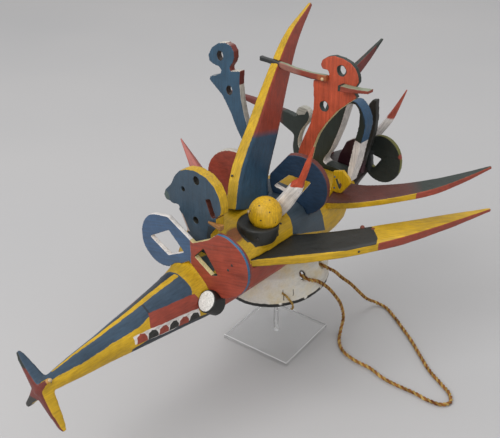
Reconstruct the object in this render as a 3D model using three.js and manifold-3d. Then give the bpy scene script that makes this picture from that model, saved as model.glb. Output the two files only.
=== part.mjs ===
// A carved and painted wooden water-spirit mask with horns, discs and figure boards,
// held level on a clear rod that stands in a square plate.
// Millimetres, +Z up. The snout points along -Y, and the origin is at the middle of the
// plate's underside.
import * as THREE from 'three';
import { mergeVertices } from 'three/addons/utils/BufferGeometryUtils.js';
import Module from 'manifold-3d';

const wasm = await Module();
wasm.setup();

// Driving dimensions
const PLATE_SIDE = 148;
const PLATE_THICK = 10;
const PLATE_TURN = 5;
const ROD_RADIUS = 5;
const COLLAR_RADIUS = 6.7;
const SOCKET_FLOOR = 1.8;
const RIM_Z = 139;
const CAP_LENGTH = 220;
const CAP_WIDTH = 184;
const CAP_TOP = 222;
const CAP_WALL = 8;
const DISC_TURN = 11;
const BAR_FRONT = 53;
const PEG_FRONT = 46;
const ORANGE_FRONT = 61.5;
const GAP = 0.5;
const ROPE_RADIUS = 3.5;
const ROPE_HOLE = 6.4;
const BALL_RADIUS = 28.3;
const BALL_CENTRE = [59, -109, 346];

// Paints
const YELLOW = 0xc9a61e;
const BLUE = 0x34566e;
const RED = 0x98432f;
const ORANGE = 0xb34a2b;
const BLACK = 0x2b2c28;
const WHITE = 0xc9c2b5;
const MAROON = 0x4f2e26;
const FIBRE = 0x8a6238;
const CLEAR = 0xdfe4e6;

const rad = THREE.MathUtils.degToRad;
const v3 = (x, y, z) => new THREE.Vector3(x, y, z);

// Closed mesh from points and triangles, turned outwards if it came out inside out
function closedMesh(points, triangles) {
  let volume = 0;
  for (const [a, b, c] of triangles) {
    volume += points[a].dot(points[b].clone().cross(points[c])) / 6;
  }
  const index = triangles.flatMap(([a, b, c]) => (volume < 0 ? [a, c, b] : [a, b, c]));
  const geometry = new THREE.BufferGeometry();
  geometry.setAttribute('position', new THREE.Float32BufferAttribute(points.flatMap((p) => [p.x, p.y, p.z]), 3));
  geometry.setIndex(index);
  return geometry;
}

// Skin over a row of rings with the same number of points, closed by a fan at each end
function loft(rings) {
  const count = rings[0].length;
  const points = rings.flat();
  const triangles = [];
  for (let r = 0; r < rings.length - 1; r += 1) {
    for (let i = 0; i < count; i += 1) {
      const a = r * count + i;
      const b = r * count + ((i + 1) % count);
      triangles.push([a, b, b + count], [a, b + count, a + count]);
    }
  }
  for (const [ring, end] of [[0, 0], [rings.length - 1, 1]]) {
    const middle = rings[ring].reduce((sum, p) => sum.add(p), v3(0, 0, 0)).divideScalar(count);
    points.push(middle);
    for (let i = 0; i < count; i += 1) {
      const a = ring * count + i;
      const b = ring * count + ((i + 1) % count);
      triangles.push(end ? [points.length - 1, a, b] : [points.length - 1, b, a]);
    }
  }
  return closedMesh(points, triangles);
}

// Welds a three.js shape's shared corners while it is still at its own origin
function weld(geometry) {
  geometry.deleteAttribute('normal');
  geometry.deleteAttribute('uv');
  const merged = mergeVertices(geometry, 1e-4);
  const triangles = [];
  for (let i = 0; i < merged.index.count; i += 3) {
    const [a, b, c] = merged.index.array.slice(i, i + 3);
    if (a !== b && b !== c && c !== a) {
      triangles.push(a, b, c);
    }
  }
  return merged.setIndex(triangles);
}

function toSolid(geometry) {
  return new wasm.Manifold(new wasm.Mesh({
    numProp: 3,
    vertProperties: new Float32Array(geometry.attributes.position.array),
    triVerts: new Uint32Array(geometry.index.array),
  }));
}

function toGeometry(solid) {
  const mesh = solid.getMesh();
  const geometry = new THREE.BufferGeometry();
  geometry.setAttribute('position', new THREE.Float32BufferAttribute(mesh.vertProperties, 3));
  geometry.setIndex(Array.from(mesh.triVerts));
  return geometry;
}

// Cuts seats in a solid for its neighbours, with a small gap on every side
function seat(base, neighbours) {
  let result = base;
  for (const geometry of neighbours) {
    for (const axis of [[1, 0, 0], [0, 1, 0], [0, 0, 1]]) {
      for (const side of [-GAP, GAP]) {
        const moved = geometry.clone().translate(axis[0] * side, axis[1] * side, axis[2] * side);
        result = result.subtract(toSolid(moved));
      }
    }
  }
  return result;
}

function outline(points) {
  return new THREE.Shape(points.map(([x, z]) => new THREE.Vector2(x, z)));
}

function roundHole(shape, x, z, halfWidth, halfHeight) {
  const hole = new THREE.Path();
  hole.absellipse(x, z, halfWidth, halfHeight, 0, Math.PI * 2, true);
  shape.holes.push(hole);
}

function cornerHole(shape, corners) {
  shape.holes.push(new THREE.Path(corners.map(([x, z]) => new THREE.Vector2(x, z))));
}

function wound(points, clockwise) {
  return THREE.ShapeUtils.isClockWise(points) === clockwise ? points : points.reverse();
}

// Flat board whose outline is drawn in X and Z, with its front face at frontY
function board(shape, thick, frontY, curveSegments = 14) {
  const { shape: edge, holes } = shape.extractPoints(curveSegments);
  const face = new THREE.Shape(wound(edge, false));
  face.holes = holes.map((hole) => new THREE.Path(wound(hole, true)));
  const geometry = weld(new THREE.ExtrudeGeometry(face, { depth: thick, bevelEnabled: false }));
  return geometry.rotateX(Math.PI / 2).translate(0, frontY + thick, 0);
}

// Smooth closed outline through a few points
function smoothOutline(points, steps) {
  const curve = new THREE.CatmullRomCurve3(points.map(([x, z]) => v3(x, z, 0)), true, 'centripetal');
  return outline(curve.getPoints(steps).slice(0, -1).map((p) => [p.x, p.y]));
}

// Cross-section of a stick: a rectangle with its corners taken off
const CORNER = 0.8;
const SECTION = [
  [1, CORNER], [CORNER, 1], [-CORNER, 1], [-1, CORNER], [-1, -CORNER], [-CORNER, -1], [CORNER, -1], [1, -CORNER],
];

// Tapered stick or horn with chamfered corners: stations hold the middle, the half width
// along `across` and the half thickness along the third direction
function horn(stations, across, steps) {
  const middle = new THREE.CatmullRomCurve3(stations.map((s) => v3(...s.at)), false, 'centripetal');
  const rings = [];
  for (let i = 0; i <= steps; i += 1) {
    const t = i / steps;
    const place = t * (stations.length - 1);
    const k = Math.min(Math.floor(place), stations.length - 2);
    const f = place - k;
    const half = THREE.MathUtils.lerp(stations[k].half, stations[k + 1].half, f);
    const thick = THREE.MathUtils.lerp(stations[k].thick, stations[k + 1].thick, f);
    const tangent = middle.getTangent(t);
    const side = across.clone().addScaledVector(tangent, -across.dot(tangent)).normalize();
    const up = tangent.clone().cross(side).normalize();
    const p = middle.getPoint(t);
    rings.push(SECTION.map(([a, b]) => p.clone().addScaledVector(side, a * half).addScaledVector(up, b * thick)));
  }
  return loft(rings);
}

// Log: head, snout and trunk
const LOG = [
  { y: -515, w: 11, top: 234, bottom: 208, peak: 1.3 },
  { y: -470, w: 18, top: 243, bottom: 205, peak: 1.3 },
  { y: -420, w: 24, top: 250, bottom: 202, peak: 1.3 },
  { y: -380, w: 30, top: 256, bottom: 199, peak: 1.35 },
  { y: -340, w: 35, top: 263, bottom: 195, peak: 1.4 },
  { y: -290, w: 39, top: 272, bottom: 189, peak: 1.6 },
  { y: -262, w: 43, top: 275, bottom: 187, peak: 1.8 },
  { y: -236, w: 50, top: 278, bottom: 187, peak: 2 },
  { y: -205, w: 58, top: 290, bottom: 191, peak: 2.4 },
  { y: -180, w: 70, top: 308, bottom: 199, peak: 2.8 },
  { y: -140, w: 77, top: 326, bottom: 204, peak: 3.2 },
  { y: -80, w: 79, top: 332, bottom: 204, peak: 3.2 },
  { y: -10, w: 78, top: 332, bottom: 206, peak: 3.2 },
  { y: 50, w: 76, top: 328, bottom: 210, peak: 3.2 },
  { y: 95, w: 72, top: 322, bottom: 214, peak: 3.2 },
  { y: 118, w: 69, top: 319, bottom: 220, peak: 3.1 },
  { y: 136, w: 67, top: 318, bottom: 262, peak: 3 },
  { y: 175, w: 60, top: 316, bottom: 282, peak: 3 },
  { y: 215, w: 50, top: 314, bottom: 284, peak: 3 },
  { y: 250, w: 40, top: 312, bottom: 286, peak: 3 },
];
const LOG_SIDES = 24;
const LOG_SQUARENESS = 3;

// The peak value shapes the upper half of a section: near 1 it is a ridge, at 3 it is boxy
function logGeometry(inset) {
  return loft(LOG.map(({ y, w, top, bottom, peak }) => {
    const ring = [];
    for (let i = 0; i < LOG_SIDES; i += 1) {
      const a = (i + 0.5) * (Math.PI * 2 / LOG_SIDES);
      const power = 2 / (Math.sin(a) > 0 ? peak : LOG_SQUARENESS);
      const bend = (value) => Math.sign(value) * Math.abs(value) ** power;
      const z = (top + bottom) / 2 + bend(Math.sin(a)) * (top - bottom) / 2;
      ring.push(v3(bend(Math.cos(a)) * (w - inset), y, z));
    }
    return ring;
  }));
}

// Tail fin at the snout's tip: two long arms, one short arm and a knob where the fourth broke off
const FIN_CENTRE = v3(-2, -524, 216);
const FIN_ROOT = 13;
const FIN_DEPTH = 10.5;
const FIN_ARMS = [
  { tip: [-44, -528, 263], end: 4 },
  { tip: [40, -526, 162], end: 4.5 },
  { tip: [-37, -532, 168], end: 4 },
  { tip: [14, -521, 239], end: 3.5 },
];

function finArm({ tip, end }) {
  const steps = 7;
  const reach = v3(...tip).sub(FIN_CENTRE);
  const across = v3(0, 1, 0).cross(reach).normalize();
  const depth = reach.clone().normalize().cross(across).normalize();
  const rings = [];
  for (let i = 0; i <= steps; i += 1) {
    const t = i / steps;
    const taper = i === steps ? 0.75 : 1;
    const half = (end + (FIN_ROOT - end) * (1 - t) ** 2) * taper;
    const deep = (end + (FIN_DEPTH - end) * (1 - t ** 1.6)) * taper;
    const p = FIN_CENTRE.clone().addScaledVector(reach, t);
    rings.push(SECTION.map(([a, b]) => p.clone().addScaledVector(across, a * half).addScaledVector(depth, b * deep)));
  }
  return loft(rings);
}

// Teeth: triangles cut shallowly into both cheeks leave a zigzag band between the jaws
const TEETH = 6;
const TOOTH_DEPTH = 3;
const MOUTH_FRONT = { y: -377, z: 227.5 };
const MOUTH_BACK = { y: -258, z: 218 };
const TOOTH_HEIGHT = 13;

function toothNotch(y, z, width, height, side) {
  const shape = outline([[y - width / 2, z], [y + width / 2, z], [y, z - height]]);
  const geometry = weld(new THREE.ExtrudeGeometry(shape, { depth: 60, bevelEnabled: false }));
  geometry.rotateX(Math.PI / 2).rotateZ(Math.PI / 2);
  return geometry.translate(side > 0 ? 0 : -60, 0, 0);
}

function carveMouth(body) {
  const skin = toSolid(logGeometry(-TOOTH_DEPTH)).subtract(toSolid(logGeometry(TOOTH_DEPTH)));
  let notches = null;
  for (const side of [-1, 1]) {
    for (let i = 0; i < TEETH; i += 1) {
      for (const jaw of [1, -1]) {
        const t = (i + (jaw > 0 ? 0.25 : 0.75)) / TEETH;
        const y = THREE.MathUtils.lerp(MOUTH_FRONT.y, MOUTH_BACK.y, t);
        const z = THREE.MathUtils.lerp(MOUTH_FRONT.z, MOUTH_BACK.z, t) + jaw * TOOTH_HEIGHT / 2;
        const notch = toSolid(toothNotch(y, z, 12, jaw * (TOOTH_HEIGHT - 3), side));
        notches = notches ? notches.add(notch) : notch;
      }
    }
  }
  return body.subtract(skin.intersect(notches));
}

// Wearing cap: an oval bowl turned over, hollow for the head, with two rope holes
const CAP_PROFILE = [
  [1, 0], [1, 0.13], [0.985, 0.155], [0.985, 0.26], [0.95, 0.42], [0.86, 0.61], [0.68, 0.81], [0.38, 0.95], [0, 1],
];

function capShell(hollow, clearance = 0) {
  const height = CAP_TOP + clearance - RIM_Z;
  const reach = CAP_LENGTH / 2 + clearance;
  const outer = CAP_PROFILE.map(([r, h]) => new THREE.Vector2(r * reach, RIM_Z + h * height));
  const inner = CAP_PROFILE.map(([r, h]) => new THREE.Vector2(r * (reach - CAP_WALL), RIM_Z + h * (height - CAP_WALL)));
  const profile = hollow ? [...inner].reverse().concat(outer) : [new THREE.Vector2(0, RIM_Z), ...outer];
  const geometry = weld(new THREE.LatheGeometry(profile, 40));
  return geometry.rotateX(Math.PI / 2).scale(CAP_WIDTH / CAP_LENGTH, 1, 1);
}

function ropeHole(inside, at) {
  const outwards = at.clone().sub(inside).normalize();
  const hole = weld(new THREE.CylinderGeometry(ROPE_HOLE, ROPE_HOLE, 40, 16));
  hole.applyQuaternion(new THREE.Quaternion().setFromUnitVectors(v3(0, 1, 0), outwards));
  return hole.translate(at.x, at.y, at.z);
}

// Boards that face the snout
function frontDiscs() {
  const through = (points) => points.map(([x, z]) => new THREE.Vector2(x, z));
  const shape = new THREE.Shape();
  shape.moveTo(14, 328);
  shape.lineTo(-41, 355);
  shape.splineThru(through([[-77, 347], [-97, 331], [-107, 307], [-105, 280], [-88, 261], [-64, 254], [-36, 261],
    [-17, 275], [4, 290]]));
  shape.lineTo(28, 272);
  shape.splineThru(through([[46, 254], [60, 249], [77, 250], [93, 258], [114, 274], [127, 295], [131, 315],
    [128, 335], [119, 350], [104, 360], [85, 366], [68, 365]]));
  shape.lineTo(48, 347);
  shape.closePath();
  cornerHole(shape, [[-87, 301], [-40, 330], [-7, 302], [-44, 281]]);
  cornerHole(shape, [[17, 304], [38, 327], [67, 289], [53, 284]]);
  return board(shape, 9, -234, 3);
}

function crestBoard() {
  const shape = outline([
    [-44, 345], [-50, 352], [-48, 359], [-66, 358], [-79, 360], [-85, 367], [-80, 378], [-66, 393], [-57, 410],
    [-45, 423], [-30, 431], [-10, 435], [14, 431], [32, 420], [42, 404], [46, 386], [44, 374],
    [35, 366], [34, 347], [22, 331], [20, 285], [-30, 285], [-33, 322],
  ]);
  roundHole(shape, -7, 418, 6, 7);
  roundHole(shape, -38, 393, 4, 4);
  roundHole(shape, -11, 345, 6, 6);
  cornerHole(shape, [[12, 391], [22, 395], [33, 366], [24, 362]]);
  return board(shape, 18, -200);
}

// Figure board: a round head with a pierced eye over a body that tapers to its foot
function blueFigure() {
  const shape = outline([
    [-80, 315], [-62, 315], [-72, 392], [-74, 423], [-82, 443], [-90, 473], [-93, 499], [-92, 525], [-115, 520],
    [-116, 527], [-109, 536], [-105, 546], [-106, 557], [-113, 566], [-126, 569], [-143, 565], [-159, 554],
    [-167, 540], [-166, 529], [-155, 524], [-141, 522], [-137, 517], [-139, 511], [-148, 506], [-164, 500],
    [-166, 494], [-156, 486], [-135, 471], [-115, 442], [-101, 415], [-84, 390],
  ]);
  roundHole(shape, -139, 543, 7, 8.5);
  roundHole(shape, -118, 484, 7, 8.5);
  return board(shape, 13, 0);
}

function orangeFigure() {
  const shape = outline([
    [-14, 318], [10, 318], [24, 381], [28, 399], [37, 424], [51, 447], [73, 476], [93, 494], [110, 509], [102, 519],
    [112, 536], [110, 547], [104, 557], [93, 565], [78, 569], [61, 570], [48, 566], [37, 558], [34, 549], [38, 543],
    [49, 543], [53, 536], [41, 524], [20, 519], [23, 484], [23, 468], [18, 440], [6, 412], [-5, 384],
  ]);
  roundHole(shape, 77, 548, 8, 8.5);
  roundHole(shape, 46, 478, 7.5, 9);
  return board(shape, 9, ORANGE_FRONT);
}

// The two discs on the trunk stand a little turned, and the near one is cut straight at its
// upper far edge
const nearShape = new THREE.Shape();
nearShape.absarc(0, 0, 56, rad(-188), rad(112), false);
nearShape.closePath();
cornerHole(nearShape, [[-47, -13], [-18, 15], [24, 11], [-1, -26]]);
const nearDisc = board(nearShape, 12, 0, 20).rotateZ(rad(DISC_TURN)).translate(52, -13, 357);
const farShape = new THREE.Shape();
farShape.absarc(0, 0, 55, 0, Math.PI * 2, false);
const farDisc = board(farShape, 12, 0, 20).rotateZ(rad(DISC_TURN)).translate(-70, -44, 341);
const backShape = new THREE.Shape();
backShape.absellipse(0, 0, 43, 48, 0, Math.PI * 2, false);
cornerHole(backShape, [[-22, 5], [1, 1], [-13, -21], [-19, -19]]);
const backDisc = board(backShape, 8, 0, 20).translate(77, 215, 332);

function archBoard() {
  const shape = smoothOutline([
    [-34, 305], [-34, 330], [-27, 353], [-14, 384], [10, 425], [28, 449], [43, 462], [57, 468], [67, 463], [76, 453],
    [83, 438], [84, 422], [81, 405], [78, 390], [75, 375], [70, 345], [61, 313], [58, 305],
  ], 64);
  shape.holes.push(new THREE.Path(
    new THREE.CatmullRomCurve3(
      [[-4, 330], [11, 358], [22, 387], [31, 413], [38, 440], [42, 455], [50, 461], [60, 461], [68, 451], [70, 434],
        [68, 414], [64, 396], [61, 380], [58, 362], [55, 345], [51, 328], [24, 326]]
        .map(([x, z]) => v3(x, z, 0)), true, 'centripetal',
    ).getPoints(45).slice(0, -1).map((p) => new THREE.Vector2(p.x, p.y)),
  ));
  return board(shape, 24, 138);
}

// The lug's lower edge follows the horn under it
function slottedLug() {
  const shape = outline([[57, 312], [60, 330], [60, 352], [80, 359], [94, 348], [99, 340], [83, 318], [78, 312]]);
  cornerHole(shape, [[66, 338], [73, 341], [80, 330], [76, 319]]);
  return board(shape, 6, 80);
}

// The blade has a low lobe that fills the foot of the arch's opening
const uprightBlade = board(outline([
  [-4, 304], [2, 332], [10, 348], [16, 362], [30, 372], [46, 372], [56, 392], [58, 435], [59, 449], [66, 459],
  [74, 461], [77, 428], [76, 400], [70, 372], [60, 340], [54, 304],
]), 11, 184);

// Horns: flat sabres that sweep back from the trunk
const hornFrontFar = horn([
  { at: [-4, -80, 318], half: 48, thick: 13 },
  { at: [-18, -60, 368], half: 41, thick: 13 },
  { at: [-34, -3, 440], half: 32, thick: 12 },
  { at: [-50, 48, 500], half: 24, thick: 10 },
  { at: [-68, 110, 562], half: 14.5, thick: 8 },
  { at: [-85, 188, 607], half: 3, thick: 3 },
], v3(0, 1, -0.35), 18);
const hornFrontNear = horn([
  { at: [38, -132, 276], half: 42, thick: 8 },
  { at: [68, -104, 277], half: 40, thick: 8 },
  { at: [110, -66, 278], half: 36, thick: 7.5 },
  { at: [160, -2, 280], half: 31, thick: 8.5 },
  { at: [205, 72, 281], half: 25, thick: 9.5 },
  { at: [248, 165, 281], half: 15, thick: 7 },
  { at: [289, 259, 281], half: 2.5, thick: 3 },
], v3(1, -0.6, 0), 18);
const hornBackNear = horn([
  { at: [62, 84, 302], half: 38, thick: 8 },
  { at: [110, 92, 313], half: 32, thick: 7 },
  { at: [168, 122, 328], half: 25, thick: 6.5 },
  { at: [212, 158, 340], half: 20, thick: 7 },
  { at: [246, 212, 350], half: 11, thick: 5 },
  { at: [273, 267, 359], half: 2, thick: 2.5 },
], v3(1, -0.6, 0.1), 18);
const hornBackFar = horn([
  { at: [-40, 192, 300], half: 26, thick: 8 },
  { at: [-45, 206, 356], half: 24, thick: 8 },
  { at: [-46, 232, 408], half: 20, thick: 8 },
  { at: [-44, 268, 450], half: 15, thick: 7 },
  { at: [-42, 325, 480], half: 9, thick: 5 },
  { at: [-40, 377, 508], half: 2, thick: 2.5 },
], v3(0, 1, -0.7), 16);
const hornSideFar = board(smoothOutline([
  [-44, 300], [-57, 325], [-68, 347], [-65, 367], [-59, 381], [-50, 393], [-43, 409], [-46, 418], [-57, 424],
  [-70, 422], [-76, 411], [-76, 402], [-95, 404], [-150, 408], [-206, 410], [-279, 405], [-206, 401], [-150, 391],
  [-121, 381], [-98, 371], [-81, 362], [-81, 350], [-82, 335], [-68, 300],
], 66), 14, 143);

// Spikes: a four-sided shaft that narrows to a long point
function spike(root, tip, half) {
  return horn([
    { at: root, half, thick: half },
    { at: v3(...root).lerp(v3(...tip), 0.4).toArray(), half, thick: half },
    { at: v3(...root).lerp(v3(...tip), 0.7).toArray(), half: half * 0.55, thick: half * 0.55 },
    { at: tip, half: 1.2, thick: 1.2 },
  ], v3(1, 0.4, 0), 9);
}
const spikeNear = horn([
  { at: [38, -62, 318], half: 12, thick: 12 },
  { at: [66, -64, 352], half: 12, thick: 12 },
  { at: [90, -66, 388], half: 11, thick: 9 },
  { at: [98, -66, 402], half: 6, thick: 5 },
  { at: [109, -66, 433], half: 5, thick: 4.5 },
  { at: [120, -66, 468], half: 1.5, thick: 1.5 },
], v3(1, 0.4, 0), 15);
const spikeFar = spike([-80, -84, 305], [-175, -70, 398], 11);
const spikeBack = horn([
  { at: [5, 240, 300], half: 7, thick: 7 },
  { at: [46, 240, 365], half: 7, thick: 7 },
  { at: [74, 240, 408], half: 6.5, thick: 6.5 },
  { at: [88, 240, 437], half: 4, thick: 4 },
  { at: [103, 240, 472], half: 1.2, thick: 1.2 },
], v3(1, 0.4, 0), 12);

// Flat bar against the front of the orange figure board: stations hold X, the middle's Z and
// the half height
function flatBar(frontY, stations) {
  const backY = ORANGE_FRONT - GAP;
  return loft(stations.map(([x, z, half]) => [
    v3(x, frontY, z - half), v3(x, backY, z - half), v3(x, backY, z + half), v3(x, frontY, z + half),
  ]));
}

function ball(clearance = 0) {
  const sphere = weld(new THREE.SphereGeometry(BALL_RADIUS + clearance, 22, 14));
  return sphere.rotateX(Math.PI / 2).translate(...BALL_CENTRE);
}

// Carved cup under the ball, one piece with the log
function dish() {
  const profile = [[0, 297], [28, 297], [31, 305], [33.5, 316], [34.5, 326], [34, 331], [0, 331]];
  const lathe = weld(new THREE.LatheGeometry(profile.map(([r, h]) => new THREE.Vector2(r, h)), 28));
  return lathe.rotateX(Math.PI / 2).translate(52, -117, 0);
}

function eyeBarrel(side, clearance = 0) {
  const c = clearance;
  const profile = [[0, -8 - c], [17 + c, -8 - c], [19 + c, -6 - c], [19 + c, 17 + c], [17 + c, 19 + c], [0, 19 + c]];
  const lathe = weld(new THREE.LatheGeometry(profile.map(([r, h]) => new THREE.Vector2(r, h)), 24));
  lathe.applyQuaternion(new THREE.Quaternion().setFromUnitVectors(v3(0, 1, 0), v3(side * -0.15, -0.79, 0.6).normalize()));
  return lathe.translate(side > 0 ? 61 : -47, side > 0 ? -237 : -229, side > 0 ? 235 : 214);
}

// Rope: both ends go into the cap, and the loop lies on the ground
const ROPE_ROUTE = [
  [65, 24, 183], [78, 35, 180], [88, 44, 172], [92, 60, 158], [92, 84, 133], [93, 118, 100], [94, 150, 64], [95, 184, 28],
  [103, 210, 8], [122, 214, 4], [150, 200, 4], [184, 178, 4], [218, 155, 4], [255, 126, 4], [292, 98, 4],
  [326, 80, 4], [350, 66, 4], [361, 48, 4], [352, 33, 4], [330, 27, 4], [300, 27, 4], [266, 24, 4],
  [236, 24, 4], [204, 31, 4], [168, 31, 4], [138, 38, 4], [114, 58, 4], [101, 80, 9], [97, 93, 32],
  [96, 83, 69], [96, 58, 107], [96, 28, 143], [95, -4, 172], [90, -19, 180], [80, -23, 184], [66, -22, 186],
].map((p) => v3(...p));

function ropeTube() {
  const section = new THREE.Shape();
  section.absarc(0, 0, ROPE_RADIUS, 0, Math.PI * 2, false);
  const path = new THREE.CatmullRomCurve3(ROPE_ROUTE, false, 'centripetal');
  const options = { steps: 76, extrudePath: path, bevelEnabled: false, curveSegments: 4 };
  return weld(new THREE.ExtrudeGeometry(section, options));
}

// Stand
function standPlate() {
  const half = PLATE_SIDE / 2;
  const shape = outline([[-half, -half], [half, -half], [half, half], [-half, half]]);
  const plate = weld(new THREE.ExtrudeGeometry(shape, { depth: PLATE_THICK, bevelEnabled: false }));
  const socket = weld(new THREE.CylinderGeometry(COLLAR_RADIUS + 0.3, COLLAR_RADIUS + 0.3, PLATE_THICK, 32));
  socket.rotateX(Math.PI / 2).translate(0, 0, SOCKET_FLOOR + PLATE_THICK / 2);
  return toGeometry(toSolid(plate).subtract(toSolid(socket))).rotateZ(rad(PLATE_TURN));
}

function standRod() {
  const top = CAP_TOP - CAP_WALL - 0.8;
  const profile = [
    [0, SOCKET_FLOOR + 0.3], [COLLAR_RADIUS, SOCKET_FLOOR + 0.3], [COLLAR_RADIUS, PLATE_THICK],
    [ROD_RADIUS, PLATE_THICK + 1], [ROD_RADIUS, top], [0, top],
  ];
  return weld(new THREE.LatheGeometry(profile.map(([r, h]) => new THREE.Vector2(r, h)), 28)).rotateX(Math.PI / 2);
}

const mask = new THREE.Group();

function place(name, geometry, color, roughness = 0.6) {
  const mesh = new THREE.Mesh(geometry, new THREE.MeshStandardMaterial({ color, roughness, metalness: 0 }));
  mesh.name = name;
  mask.add(mesh);
  return mesh;
}

// Trim each piece by the ones that pass through it, then cut the seats in the body
const bar = flatBar(BAR_FRONT, [
  [-93, 535, 4], [-61, 534, 4], [-35, 531, 6], [-13, 529, 5.3], [20, 528.5, 5.5], [52, 530.5, 5.5],
]);
const peg = flatBar(PEG_FRONT, [[82, 523, 5], [95, 523.5, 4.5], [121, 526.5, 3], [140, 529.5, 2.5]]);
const tallHorn = toGeometry(seat(toSolid(hornFrontFar), [bar]));
const orange = orangeFigure();
const nearBall = ball();
const crest = crestBoard();
const blue = blueFigure();
const lug = toGeometry(seat(toSolid(slottedLug()), [hornBackNear]));
const arch = archBoard();
const near = toGeometry(seat(toSolid(nearDisc), [hornFrontFar, spikeNear]));
const far = toGeometry(seat(toSolid(farDisc), [hornFrontFar, spikeFar]));
const backRoundBoard = toGeometry(seat(toSolid(backDisc), [hornBackNear]));
const capSolid = toSolid(capShell(true))
  .subtract(toSolid(ropeHole(ROPE_ROUTE[0], ROPE_ROUTE[1])))
  .subtract(toSolid(ropeHole(ROPE_ROUTE.at(-1), ROPE_ROUTE.at(-2))));
const eyes = { near_eye: eyeBarrel(1), far_eye: eyeBarrel(-1) };

let body = toSolid(logGeometry(0));
body = carveMouth(body);
body = body.add(toSolid(weld(new THREE.SphereGeometry(FIN_ROOT, 12, 8)).translate(...FIN_CENTRE.toArray())));
for (const arm of FIN_ARMS) {
  body = body.add(toSolid(finArm(arm)));
}
body = body.add(toSolid(dish()));
const discs = toGeometry(seat(toSolid(frontDiscs()), [toGeometry(body), ...Object.values(eyes)]));
for (const round of [ball(GAP), eyeBarrel(1, GAP), eyeBarrel(-1, GAP), capShell(false, GAP)]) {
  body = body.subtract(toSolid(round));
}
body = seat(body, [
  crest, blue, orange, lug, arch, near, far, backRoundBoard, uprightBlade, hornFrontFar, hornFrontNear,
  hornBackNear, hornBackFar, hornSideFar, spikeNear, spikeFar, spikeBack,
]);

place('carved_body', toGeometry(body), YELLOW);
place('wearing_cap', toGeometry(capSolid), WHITE, 0.8);
place('near_eye', eyes.near_eye, WHITE);
place('far_eye', eyes.far_eye, WHITE);
place('front_double_disc', discs, RED);
place('crest_board', crest, BLUE);
place('blue_figure_board', blue, BLUE);
place('orange_figure_board', orange, ORANGE);
place('cross_bar', bar, RED);
place('bar_peg', peg, RED);
place('near_disc', near, BLUE);
place('far_disc', far, RED);
place('back_disc', backRoundBoard, BLACK);
place('arch_board', arch, BLACK);
place('upright_blade', uprightBlade, MAROON);
place('slotted_lug', lug, YELLOW);
place('tall_horn', tallHorn, RED);
place('near_front_horn', hornFrontNear, YELLOW);
place('near_back_horn', hornBackNear, MAROON);
place('far_back_horn', hornBackFar, RED);
place('far_side_horn', hornSideFar, MAROON);
place('near_spike', spikeNear, WHITE);
place('far_spike', spikeFar, RED);
place('back_spike', spikeBack, WHITE);
place('yellow_ball', nearBall, YELLOW);
place('rope', ropeTube(), FIBRE, 0.9);
place('stand_plate', standPlate(), CLEAR, 0.1);
place('stand_rod', standRod(), CLEAR, 0.1);

export default mask;
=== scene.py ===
import math
import random

import bmesh
import bpy
from mathutils import Matrix, Vector, noise


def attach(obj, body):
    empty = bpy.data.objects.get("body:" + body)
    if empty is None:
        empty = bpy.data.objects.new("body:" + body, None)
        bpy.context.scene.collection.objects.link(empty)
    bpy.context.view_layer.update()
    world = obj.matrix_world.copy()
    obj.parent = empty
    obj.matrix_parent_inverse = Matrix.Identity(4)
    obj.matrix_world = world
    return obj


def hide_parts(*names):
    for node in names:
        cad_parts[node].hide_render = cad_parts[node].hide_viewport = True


# A carved and painted wooden mask of the water-spirit kind, worn flat on top of the head, held up by
# a clear rod and plate. In metres, +Z up; the snout points along -Y, and the near side is +X.
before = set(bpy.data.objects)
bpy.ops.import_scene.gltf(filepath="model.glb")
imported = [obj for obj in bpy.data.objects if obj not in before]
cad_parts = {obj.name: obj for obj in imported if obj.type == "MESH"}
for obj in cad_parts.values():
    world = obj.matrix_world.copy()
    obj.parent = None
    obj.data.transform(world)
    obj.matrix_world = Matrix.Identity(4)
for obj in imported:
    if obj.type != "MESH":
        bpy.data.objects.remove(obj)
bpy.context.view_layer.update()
scene = bpy.context.scene
MM = 0.001


# Camera: a 54 mm lens that looks down at the mask's near side from in front of its snout, with the
# place, turn and pitch of the photograph.
LENS_MM = 54
SENSOR_MM = 36
CAMERA_AT = (0.743, -0.934, 0.953)
AZIMUTH = 41
PITCH = 30

lens = bpy.data.cameras.new("camera")
lens.lens = LENS_MM
lens.sensor_width = SENSOR_MM
camera = bpy.data.objects.new("camera", lens)
camera.location = CAMERA_AT
camera.rotation_euler = (math.radians(90 - PITCH), 0, math.radians(AZIMUTH))
scene.collection.objects.link(camera)
scene.camera = camera


# Rope: two plies of dry plant fibre laid round each other by hand, about 7 mm thick with loose hairs.
# It leaves the bowl through one hole, falls to the ground in a loop and goes back in by the other.
# Sizes are in mm, and the fibre's patterns are counted per mm of cord or per metre of space. Real
# hairs are finer than the render can show, so these are drawn 0.4 mm thick.
PLY_OFFSET = 1.75
PLY_RADIUS = 1.85
PLY_SIDES = 10
PLY_UNEVEN = 0.16
UNEVEN_PER_M = 130
LAY_LENGTH = 15
ROPE_STEP = 1.5
HAIRS = 420
HAIR_FOOT = 2.2
HAIR_BEND = 3.1
HAIR_TIP = (2.9, 3.9)
HAIR_RADII = (0.22, 0.18, 0.06)
HAIR_SIDES = 3
HAIR_REACH = 6
BARE_STEPS = (4, 12)
STRANDS_ROUND = 9
STRANDS_PER_MM = 0.16
FADE_PER_M = 55
FIBRE_RELIEF = 0.0005
FIBRE_ROUGH = 0.88
BROWN_BAST = (0x60341A, 0xAC7438)
STRAW_BAST = (0x82602C, 0xCBAA60)
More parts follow.
